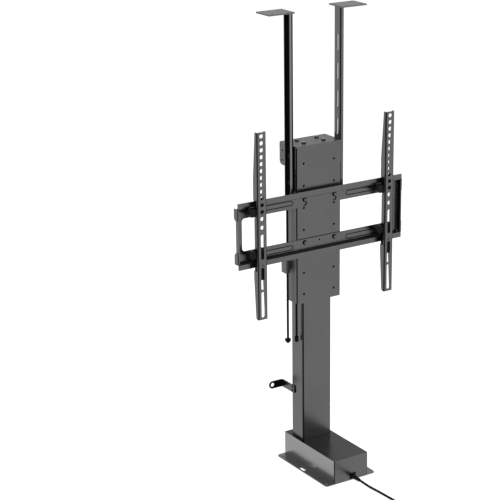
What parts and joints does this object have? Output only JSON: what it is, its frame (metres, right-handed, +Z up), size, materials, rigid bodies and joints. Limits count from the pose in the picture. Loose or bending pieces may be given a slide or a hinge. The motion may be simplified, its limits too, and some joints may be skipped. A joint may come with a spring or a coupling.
{
  "type": "motorised tv lift",
  "caption": "Three-stage motorised lifting column on a low base box, with a slotted screen frame, two hook-on arms and two lid posts.",
  "frame": {"origin": "on the spindle axis of the column, at the underside of the floor plate", "axes": "+Z up along the lift, -Y the front that the screen faces, +X to the right in a front view"},
  "size_m": [0.439, 0.4935, 1.0474],
  "materials": {
    "grey_paint": "semi-gloss dark grey powder coat",
    "black_paint": "semi-gloss black powder coat",
    "steel": "plain drawn steel",
    "aluminium": "extruded",
    "cast_housing": "as cast",
    "bronze": "machined",
    "white_plastic": "moulded sliding plastic",
    "black_plastic": "fine moulded",
    "board_plastic": "glass fibre board",
    "cord_rubber": "smooth sheath"
  },
  "bodies": {
    "base": {"floor_plate": "grey_paint", "base_cover": "grey_paint", "cover_screws": "steel", "gearbox_housing": "cast_housing", "gearbox_lid": "aluminium", "spindle_bearing": "steel", "motor_body": "steel", "control_board": "board_plastic", "board_parts": "black_plastic", "cord_gland": "black_plastic", "power_cord_run": "cord_rubber", "power_cord_coil": "cord_rubber", "power_plug": "cord_rubber", "outer_tube": "grey_paint", "column_foot": "grey_paint", "foot_screws": "steel", "outer_glides": "white_plastic", "wall_strap_left": "grey_paint", "wall_strap_right": "grey_paint", "strap_screws": "black_paint"},
    "motor_rotor": {"motor_shaft": "steel"},
    "spindle": {"lift_spindle": "steel", "worm_wheel": "bronze"},
    "middle_stage": {"middle_tube": "steel", "middle_block": "black_plastic", "middle_nut": "white_plastic", "middle_glides": "white_plastic"},
    "upper_screw": {"upper_spindle": "steel"},
    "carriage": {"inner_tube": "steel", "inner_block": "black_plastic", "inner_nut": "white_plastic", "inner_glides": "white_plastic", "head_plate": "grey_paint", "cap_bracket": "grey_paint", "cap_bolts": "grey_paint", "carriage_channel": "grey_paint", "carriage_glides": "white_plastic", "front_plate": "grey_paint", "tv_frame": "grey_paint", "frame_bolts": "grey_paint", "post_bolts": "black_paint", "guide_block": "grey_paint", "trip_rod": "black_paint", "trip_rod_clips": "black_plastic"},
    "lid_lift_left": {"lid_post_left": "grey_paint", "lid_pad_left": "grey_paint", "guide_rod": "black_paint"},
    "lid_lift_right": {"lid_post_right": "grey_paint", "lid_pad_right": "grey_paint"},
    "vesa_arm_left": {"arm_left": "grey_paint", "clamp_left": "black_paint"},
    "vesa_arm_right": {"arm_right": "grey_paint", "clamp_right": "black_paint"},
    "knob_a": {"knob_left_top": "black_plastic"},
    "knob_b": {"knob_left_bottom": "black_plastic"},
    "knob_c": {"knob_right_top": "black_plastic"},
    "knob_d": {"knob_right_bottom": "black_plastic"}
  },
  "joints": [
    {"name": "middle_lift", "type": "slide", "parent": "base", "child": "middle_stage", "axis": [0, 0, 1], "range_m": [0, 0.45]},
    {"name": "carriage_lift", "type": "slide", "parent": "middle_stage", "child": "carriage", "axis": [0, 0, 1], "range_m": [0, 0.45]},
    {"name": "spindle_turn", "type": "hinge", "parent": "base", "child": "spindle", "pos_m": [0, 0, 0.1], "axis": [0, 0, -1], "range_deg": [0, 16201]},
    {"name": "upper_screw_turn", "type": "hinge", "parent": "middle_stage", "child": "upper_screw", "pos_m": [0, 0, 0.1], "axis": [0, 0, -1], "range_deg": [0, 16201]},
    {"name": "motor_turn", "type": "hinge", "parent": "base", "child": "motor_rotor", "pos_m": [0.0205, 0, 0.0235], "axis": [0, 1, 0], "range_deg": [0, 243010]},
    {"name": "lid_post_left_slide", "type": "slide", "parent": "carriage", "child": "lid_lift_left", "axis": [0, 0, 1], "range_m": [0, 0.028]},
    {"name": "lid_post_right_slide", "type": "slide", "parent": "carriage", "child": "lid_lift_right", "axis": [0, 0, 1], "range_m": [0, 0.028]},
    {"name": "arm_left_slide", "type": "slide", "parent": "carriage", "child": "vesa_arm_left", "axis": [1, 0, 0], "range_m": [-0.02, 0.069]},
    {"name": "arm_right_slide", "type": "slide", "parent": "carriage", "child": "vesa_arm_right", "axis": [1, 0, 0], "range_m": [-0.069, 0.036]},
    {"name": "knob_left_top_turn", "type": "hinge", "parent": "vesa_arm_left", "child": "knob_a", "pos_m": [-0.1883, -0.054, 0.6355], "axis": [0, 1, 0], "range_deg": [0, 720]},
    {"name": "knob_left_bottom_turn", "type": "hinge", "parent": "vesa_arm_left", "child": "knob_b", "pos_m": [-0.1883, -0.054, 0.5415], "axis": [0, 1, 0], "range_deg": [0, 720]},
    {"name": "knob_right_top_turn", "type": "hinge", "parent": "vesa_arm_right", "child": "knob_c", "pos_m": [0.1487, -0.054, 0.6355], "axis": [0, 1, 0], "range_deg": [0, 720]},
    {"name": "knob_right_bottom_turn", "type": "hinge", "parent": "vesa_arm_right", "child": "knob_d", "pos_m": [0.1487, -0.054, 0.5415], "axis": [0, 1, 0], "range_deg": [0, 720]}
  ],
  "couplings": [
    {"joint": "carriage_lift", "follows": "middle_lift", "ratio": 1},
    {"joint": "spindle_turn", "follows": "middle_lift", "rad_per_m": 628.32},
    {"joint": "upper_screw_turn", "follows": "middle_lift", "rad_per_m": 628.32},
    {"joint": "motor_turn", "follows": "middle_lift", "rad_per_m": 9424.8}
  ]
}
